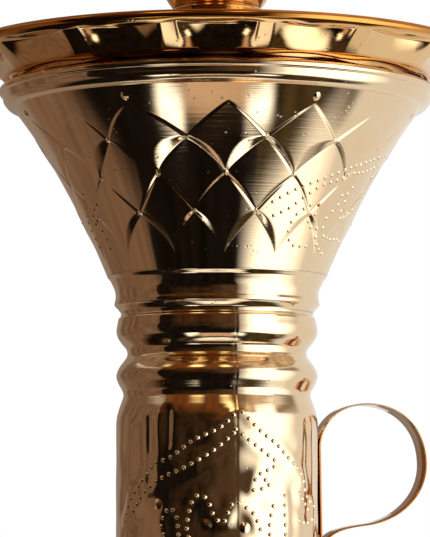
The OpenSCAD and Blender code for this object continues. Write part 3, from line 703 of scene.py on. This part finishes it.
def make_seat():
    """The collar that hangs into the mouth and centres the lid."""
    r = float(funnel_r(SEAT_Z)) - FUNNEL_WALL - SEAT_PLAY
    seat = np.array([[r - WALL, SEAT_Z], [r, SEAT_Z], [r, BRIM_Z - FIT - WALL], [SEAT_R, BRIM_Z - FIT - WALL],
                     [SEAT_R, BRIM_Z - FIT], [r - WALL, BRIM_Z - FIT]])
    turned("lid_seat", seat, "gold_trim", body="lid", node="lid_collar")


def make_finial():
    """Foot, hollow body, bead and point, all with a bore for the stud."""
    bore = STUD_R + FIT
    base = np.array([[bore, DOME_TOP + FIT], [FINIAL_BASE_R, DOME_TOP + FIT],
                     [FINIAL_BASE_R + 0.6, DOME_TOP + 0.5 * FINIAL_BASE_H], [FINIAL_BASE_R, BULB_Z - FIT],
                     [bore, BULB_Z - FIT]])
    turned("finial_foot", base, "gold_trim", body="lid", node="finial_base", warm=AMBER_FOOT)
    wide, neck = BULB_Z + 14.4, 5.5
    path = np.vstack([[[bore, BULB_Z], [FINIAL_BASE_R + 0.2, BULB_Z]],
                      bez([FINIAL_BASE_R + 0.4, BULB_Z + 0.2], [FINIAL_BASE_R + 3.2, BULB_Z + 3.6],
                          [BULB_R, wide - 6], [BULB_R, wide], 30),
                      bez([BULB_R, wide], [BULB_R, wide + 9], [7, RING_Z - 8], [neck, RING_Z - 1], 30)[1:],
                      [[neck, RING_Z - FIT], [bore, RING_Z - FIT]]])
    turned("finial_body", sheet(path), "gold_trim", body="lid", node="finial_bulb", warm=AMBER_BODY)
    half = 2.5
    ring = np.vstack([[[bore, RING_Z], [neck, RING_Z]], arc([6, RING_Z + half], 2.4, -80, 80, 24),
                      [[neck, RING_Z + 2 * half], [bore, RING_Z + 2 * half]]])
    turned("finial_bead", ring, "gold_trim", steps=96, body="lid", node="finial_ring")
    low = RING_Z + 2 * half + FIT
    spire = np.vstack([[[0.02, low + 6], [bore, low + 6], [bore, low], [5, low]],
                       bez([5, low], [9.5, low + 3], [8.5, low + 10], [3.4, low + 12.5], 24)[1:],
                       bez([3.6, low + 13.5], [2.4, low + 16], [1, TIP_Z - 4], [0.6, TIP_Z - 0.5], 16),
                       [[0.02, TIP_Z]]])
    turned("finial_point", spire, "gold_trim", steps=96, body="lid", node="finial_spire")


# ---- Punched dots and the bosses of the net ----

BUMP_ROWS, BUMP_SIDES = 8, 20
BUMP_OVER, BUMP_HEM = 0.02, 0.12  # a bump lies this far over the wall, and its edge goes down into it


def along(keys, pitch):
    """Places on the wall, every pitch millimetres along the smooth line through the key points."""
    line = through(keys, 24)
    r = skin_r(line[:, 0], line[:, 1])
    step = np.diff(line, axis=0)
    length = np.hypot(np.radians(step[:, 0]) * r[:-1], step[:, 1])
    total = np.concatenate([[0], np.cumsum(length)])
    n = max(1, round(total[-1] / pitch))
    at = np.linspace(0, total[-1], n + 1)
    return np.stack([np.interp(at, total, line[:, 0]), np.interp(at, total, line[:, 1])], 1)


def outer_r(a, z):
    """The wall's radius with the lifted lines of dots, at an azimuth and a height."""
    return skin_r(a, z) + chased(a, z)


def dome_cap(a_deg, z, radius, height):
    """One bump, pushed out from inside: a smooth bell that lies on the wall and leaves it with no edge."""
    rho = np.linspace(0, 1, BUMP_ROWS)[:, None]
    phi = np.linspace(0, 2 * math.pi, BUMP_SIDES, endpoint=False)[None, :]
    r0 = float(outer_r(np.array(a_deg), np.array(z)))
    a = a_deg + np.degrees(radius * rho * np.cos(phi) / r0)
    up = z + radius * rho * np.sin(phi)
    slope = float(outer_r(np.array(a_deg), np.array(z + 1)) - outer_r(np.array(a_deg), np.array(z - 1))) / 2
    lift = height * (1 - rho**2) ** 2 + BUMP_OVER - BUMP_HEM * (rho == 1)
    r = outer_r(a, up) + lift / math.hypot(1, slope)
    up = up - lift * slope / math.hypot(1, slope)
    verts = np.stack([r * np.cos(np.radians(a)), r * np.sin(np.radians(a)), up], -1).reshape(-1, 3)
    return verts.tolist(), grid_faces(BUMP_ROWS, BUMP_SIDES, False)


def bumps(name, places, radius, height):
    """One piece of many bumps, at places of [azimuth, height]."""
    verts, faces = [], []
    for a, z in places:
        v, f = dome_cap(a, z, radius, height)
        faces.append(f + len(verts))
        verts += v
    mesh_piece(name, np.array(verts), np.vstack(faces)[:, ::-1], "gold_sheet", sharp=80)


# Chains of dots on the pot's front, as key points of [azimuth in degrees, height in mm]
DOT_PITCH = 3.4
TUBE_CHAINS = [
    [(-92, 178), (-100, 173), (-115, 168), (-127, 162), (-138, 159), (-147, 153), (-157, 146), (-164, 137)],
    [(-92, 171), (-104, 164), (-119, 158), (-134, 153.5), (-146, 148), (-155, 141)],
    [(-87, 179), (-77, 172), (-67, 167), (-57, 161), (-46, 155), (-42, 148), (-30, 142), (-27, 138)],
    [(-91, 172.5), (-83, 168), (-73, 163), (-67, 159), (-78, 155), (-80, 153)],
    [(-74, 153), (-71, 152), (-74, 150), (-81, 149)],
    [(-117, 131), (-118, 134), (-117, 140), (-114, 146), (-109, 147), (-105, 143), (-103, 139), (-98, 136.5),
     (-95, 141), (-92, 144.5), (-87, 143), (-81, 140), (-77, 134)],
    [(-132, 132), (-133.5, 136), (-131, 140), (-128, 142.3), (-124, 139), (-122.7, 132)],
    [(-69, 143), (-71, 137), (-71, 132)],
    [(-61, 147), (-61, 141), (-60.5, 132)],
    [(-49, 148), (-45, 145.5), (-39, 142)],
    [(-49, 137.5), (-41, 136.6), (-34.6, 138)],
]
TUBE_DOTS = np.vstack([along(chain, DOT_PITCH) for chain in TUBE_CHAINS])
TUBE_BOSSES = [(-107.3, 135.8), (-85.9, 134.6), (-136.2, 143.6)]

# The vine and its leaf, chased on the right of the funnel, and the ends of two lines at its left
FUNNEL_CHAINS = [
    [(-78.5, 259), (-71, 263.4), (-63.5, 266.7), (-55, 270), (-47, 273.4), (-39, 276.2), (-30, 279.3),
     (-23, 281.5)],
    [(-77, 254), (-70.6, 257), (-65, 261.2), (-58, 266), (-49, 269.3), (-42.7, 272), (-34, 273.7),
     (-24, 277.3)],
    [(-55.5, 259), (-56, 255), (-58, 253), (-56.5, 250.7), (-52.6, 251), (-48.5, 245), (-40, 241.7)],
    [(-60, 258.8), (-63, 257.4), (-66.8, 254), (-68, 249.4), (-66, 245.3), (-62.9, 243.6), (-54.6, 243.6)],
    [(-38, 267.3), (-38.5, 265), (-43.3, 263.5), (-43.6, 259.5), (-48, 255), (-48, 251)],
    [(-38.6, 261.7), (-38.8, 256.8), (-34.8, 255.3), (-32, 258), (-27, 260), (-20.6, 262.3)],
    [(-22.8, 273), (-20.3, 271), (-21, 265.3), (-25.5, 266.8)],
    [(-45, 248), (-36.4, 247.4), (-27.7, 248.1), (-20.8, 246.2)],
    [(-159, 260), (-164, 257.6), (-166.4, 254), (-164, 250.8), (-162.6, 247), (-162.8, 243.6)],
    [(-166, 265), (-171, 257), (-174, 252.7), (-173.5, 245)],
]


def net_place(i, j, z):
    """The azimuth of step j of row i, with the height."""
    a = (NET_TURN + 90 * j / NET_N + 180) % 360 - 270
    return a + float(drift(i, a)), z


def make_dots():
    """Each call names the piece and gives its places, the radius of a bump and its height."""
    bumps("tube_dots", TUBE_DOTS, 0.95, 0.40)
    bumps("tube_bosses", TUBE_BOSSES, 2.4, 0.75)
    bumps("funnel_dots", np.vstack([along(chain, DOT_PITCH) for chain in FUNNEL_CHAINS]), 0.9, 0.36)
    steps = range(4 * NET_N)
    bumps("net_tip_bosses", [net_place(NET_ROWS, j, NET_TIP_Z) for j in steps[4::8]], 1.7, 0.6)
    nodes = [net_place(i, j, float(net_z(np.array(i)))) for i in NET_WIDEST for j in steps if j % 4 == i % 4]
    bumps("net_node_bosses", nodes, 1.1, 0.4)


# ---- Build ----

make_funnel()
make_hoop()
turned("collar", sheet(collar_path()), "gold_sheet", node="neck_collar")
turned("tube", sheet(tube_path()), "gold_sheet", steps=720, ripple=tube_ripple, node="body_tube")
make_waist()
turned("belly_shell", sheet(belly_path()), "gold_sheet", node="belly")
make_foot()
make_spout()
make_flange()
make_handle()
make_rivets()
make_brim()
make_lip()
make_crown()
make_seat()
make_finial()
make_dots()

CAD_FINISHES = {"rim_wire": "steel_hidden", "base_plate": "gold_sheet", "handle_pad": "gold_trim",
                "finial_stud": "steel_hidden", "finial_washer": "steel_hidden", "finial_nut": "steel_hidden"}
for name, slot in CAD_FINISHES.items():
    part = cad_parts[name]
    part.data.materials.clear()
    part.data.materials.append(FINISHES[slot])


# ---- Studio: white all round, with dark flags and soft boxes that only the metal's gloss sees ----

CARD_GRID, CARD_CENTRE_Z = 48, 0.25  # points along each side of a card, and the height it faces, in metres
STREAK_FINE, STREAK_SHAPE = 1.4, (1, 1, 0.25)  # how fine its streaks are; they stand upright


def card(name, azimuth, elevation, radius, colour, strength=1.0, streaks=0.0, soft=(0, 0)):
    """A curved card round the pot. Azimuth is from the camera, to its right; both ranges are in degrees.

    The card fades out over its last degrees, as many sideways and up or down as soft says."""
    az, el = np.linspace(*azimuth, CARD_GRID)[None, :], np.linspace(*elevation, CARD_GRID)[:, None]
    turn = np.radians(az - FRONT)
    rise = np.radians(el)
    pts = np.stack([radius * np.cos(rise) * np.cos(turn), radius * np.cos(rise) * np.sin(turn),
                    CARD_CENTRE_Z + radius * np.sin(rise) + 0 * turn], -1).reshape(-1, 3)
    mesh = bpy.data.meshes.new(name)
    mesh.from_pydata(pts.tolist(), [], grid_faces(CARD_GRID, CARD_GRID, False, False).tolist())
    sideways = np.minimum(az - azimuth[0], azimuth[1] - az) / max(soft[0], 0.001)
    upright = np.minimum(el - elevation[0], elevation[1] - el) / max(soft[1], 0.001)
    fade = np.clip(sideways, 0, 1) * np.clip(upright, 0, 1) if max(soft) else 0 * sideways * upright + 1
    mesh.attributes.new("fade", "FLOAT", "POINT").data.foreach_set("value", fade.astype(np.float32).ravel())
    mat, t = blank(bpy.data.materials, name)
    where = node(t, "ShaderNodeTexCoord").outputs["Object"]
    cloud = noise(t, where, STREAK_FINE, STREAK_SHAPE, detail=3)
    wave = span(t, cloud, NOISE_LOW, NOISE_HIGH, 1 - streaks, 1 + streaks)
    power = maths(t, "MULTIPLY", wave, strength)
    emit = node(t, "ShaderNodeEmission", {"Color": (*colour, 1), "Strength": power})
    clear = node(t, "ShaderNodeBsdfTransparent")
    here = node(t, "ShaderNodeAttribute", attribute_name="fade").outputs["Fac"]
    mix = node(t, "ShaderNodeMixShader", {0: here, 1: clear.outputs[0], 2: emit.outputs[0]})
    out = node(t, "ShaderNodeOutputMaterial")
    t.links.new(mix.outputs[0], out.inputs[0])
    mesh.materials.append(mat)
    obj = place(name, mesh)
    obj.visible_camera = obj.visible_diffuse = obj.visible_shadow = obj.visible_transmission = False


BROWN, BLACK = (0.258, 0.161, 0.112), (0.008, 0.006, 0.005)
EMBER, RUST = (0.034, 0.019, 0.010), (0.15, 0.050, 0.013)
PALE, CREAM, LAMP, WHITE = (1.0, 0.98, 0.96), (0.68, 0.48, 0.34), (1.0, 0.80, 0.42), (1.0, 1.0, 1.0)
CARDS = [
    # name, azimuth range, elevation range, distance, colour, strength, streaks, soft edges
    ("ceiling", (-180, 180), (34, 90), 6.7, (0.24, 0.16, 0.105), 1.0, 0.4),
    ("ceiling_right", (24, 180), (30, 90), 6.65, (0.62, 0.47, 0.32), 1.0, 0.6, (26, 8)),
    ("ceiling_rust", (-95, 52), (20, 90), 5.5, RUST, 1.0, 0.5, (36, 16)),
    ("floor_dark", (-130, 60), (-90, -28), 6.5, BLACK, 1.0, 0.5),
    ("card_left", (-150, -51), (-42, 36), 6.0, BROWN, 0.72, 0.3, (10, 8)),
    ("card_back_left", (-180, -130), (-60, 34), 6.2, (0.30, 0.24, 0.20), 1.0, 0.0),
    ("card_right", (92, 180), (-90, 34), 6.2, PALE, 0.85, 0.0),
    ("flag_front", (-72, 36), (-61, 34), 5.8, BLACK, 1.0, 0.5),
    ("flag_right_low", (28, 112), (-72, -36), 5.9, (0.05, 0.034, 0.016), 1.0, 0.9, (10, 3)),
    ("flag_warm", (-55, 24), (-8, 30), 5.7, EMBER, 1.0, 0.6, (8, 8)),
    ("glow_dim", (-10, 44), (-24, 36), 5.65, (0.08, 0.048, 0.029), 1.0, 0.3, (18, 14)),
    ("softbox_right", (22, 104), (-47, 36), 5.6, WHITE, 2.2, 0.0, (26, 9)),
    ("flag_right_top", (70, 120), (14, 36), 5.55, (0.3, 0.24, 0.18), 1.0, 0.0, (10, 10)),
    ("card_below", (-90, 90), (-74, -61), 5.62, (0.06, 0.04, 0.026), 1.0, 0.4, (3, 2)),
    ("cream_below", (-36, 36), (-68, -58), 5.6, CREAM, 1.0, 0.1, (10, 2.5)),
    ("card_nadir", (-180, 180), (-90, -80), 5.45, (0.14, 0.085, 0.05), 1.0, 0.4),
    ("ring_white", (-110, 110), (-80, -70), 5.4, WHITE, 1.3, 0.2, (5, 3)),
    ("dark_line", (-90, 90), (-71, -66.4), 5.35, (0.012, 0.008, 0.005), 1.0, 0.5, (6, 0.8)),
    ("glow_left", (-56, -27), (-63, -52), 5.3, WHITE, 2.4, 0.0, (8, 4)),
    ("glow_right", (23, 52), (-63, -53), 5.3, WHITE, 2.4, 0.0, (8, 4)),
    ("lamp_left", (-41, -16), (38, 56), 5.3, LAMP, 2.4, 0.0, (8, 7)),
    ("lamp_middle", (2, 22), (38, 56), 5.3, LAMP, 2.4, 0.0, (8, 7)),
    ("lamp_far_left", (-82, -66), (37, 50), 5.3, LAMP, 1.2, 0.0, (6, 6)),
]
for spec in CARDS:
    card(*spec)


def make_world():
    """White for what the camera and the gloss see, and a plain level for diffuse light."""
    bpy.context.scene.world, t = blank(bpy.data.worlds, "studio_air")
    ray = node(t, "ShaderNodeLightPath").outputs
    seen = maths(t, "ADD", maths(t, "ADD", ray["Is Camera Ray"], ray["Is Glossy Ray"]),
                 ray["Is Transmission Ray"], clamp=True)
    air = node(t, "ShaderNodeBackground", {"Color": (0.9, 0.9, 0.9, 1), "Strength": 0.6})
    white = node(t, "ShaderNodeBackground", {"Color": (1, 1, 1, 1), "Strength": 1.0})
    mix = node(t, "ShaderNodeMixShader", {0: seen, 1: air.outputs[0], 2: white.outputs[0]})
    out = node(t, "ShaderNodeOutputWorld")
    t.links.new(mix.outputs[0], out.inputs[0])


def make_floor():
    """A wide pale floor that the metal doesn't mirror."""
    mesh = bpy.data.meshes.new("floor")
    side = 30.0
    corners = [(-side, -side, 0), (side, -side, 0), (side, side, 0), (-side, side, 0)]
    mesh.from_pydata(corners, [], [(0, 1, 2, 3)])
    mat = bpy.data.materials.new("pale_floor")
    mat.use_nodes = True
    t = mat.node_tree
    t.nodes["Principled BSDF"].inputs["Base Color"].default_value = (0.88, 0.88, 0.87, 1)
    t.nodes["Principled BSDF"].inputs["Roughness"].default_value = 0.8
    mesh.materials.append(mat)
    obj = place("floor", mesh)
    obj.visible_glossy = False


def make_lamp(name, at, size, watts):
    """A round lamp turned towards the pot's middle, unseen in the metal."""
    data = bpy.data.lights.new(name, "AREA")
    data.shape, data.size, data.energy = "DISK", size, watts
    lamp = place(name, data)
    lamp.location = at
    lamp.rotation_euler = (Vector((0, 0, 0.2)) - Vector(at)).to_track_quat("-Z", "Y").to_euler()
    lamp.visible_glossy = False


make_world()
make_floor()
make_lamp("lamp_over", (0.6, -0.8, 2.2), 1.2, 22)


# ---- Camera: low, looking a little up, so that the belly is below the frame ----

CAMERA_FAR, CAMERA_Z, CAMERA_PITCH = 1.24, 0.130, 4.97  # metres, metres and degrees
# The focal length and the frame's height in pixels, and how far the pot's axis lies off the frame's middle
FOCAL_PX, FRAME_H, AXIS_OFF_PX = 3120.0, 537.0, 2.0


def make_camera():
    """The camera, turned a hair past the pot's axis."""
    turn = math.radians(CAMERA_TURN)
    data = bpy.data.cameras.new("camera")
    data.sensor_fit = "AUTO"
    data.sensor_width = 36.0
    data.lens = data.sensor_width * FOCAL_PX / FRAME_H
    data.clip_start, data.clip_end = 0.05, 100.0
    cam = place("camera", data)
    cam.location = (-CAMERA_FAR * math.sin(turn), -CAMERA_FAR * math.cos(turn), CAMERA_Z)
    pitch = math.radians(CAMERA_PITCH)
    yaw = turn - AXIS_OFF_PX / FOCAL_PX
    look = Vector((math.sin(yaw) * math.cos(pitch), math.cos(yaw) * math.cos(pitch), math.sin(pitch)))
    cam.rotation_euler = look.to_track_quat("-Z", "Y").to_euler()
    bpy.context.scene.camera = cam


make_camera()
bpy.context.scene.view_settings.view_transform = "Standard"
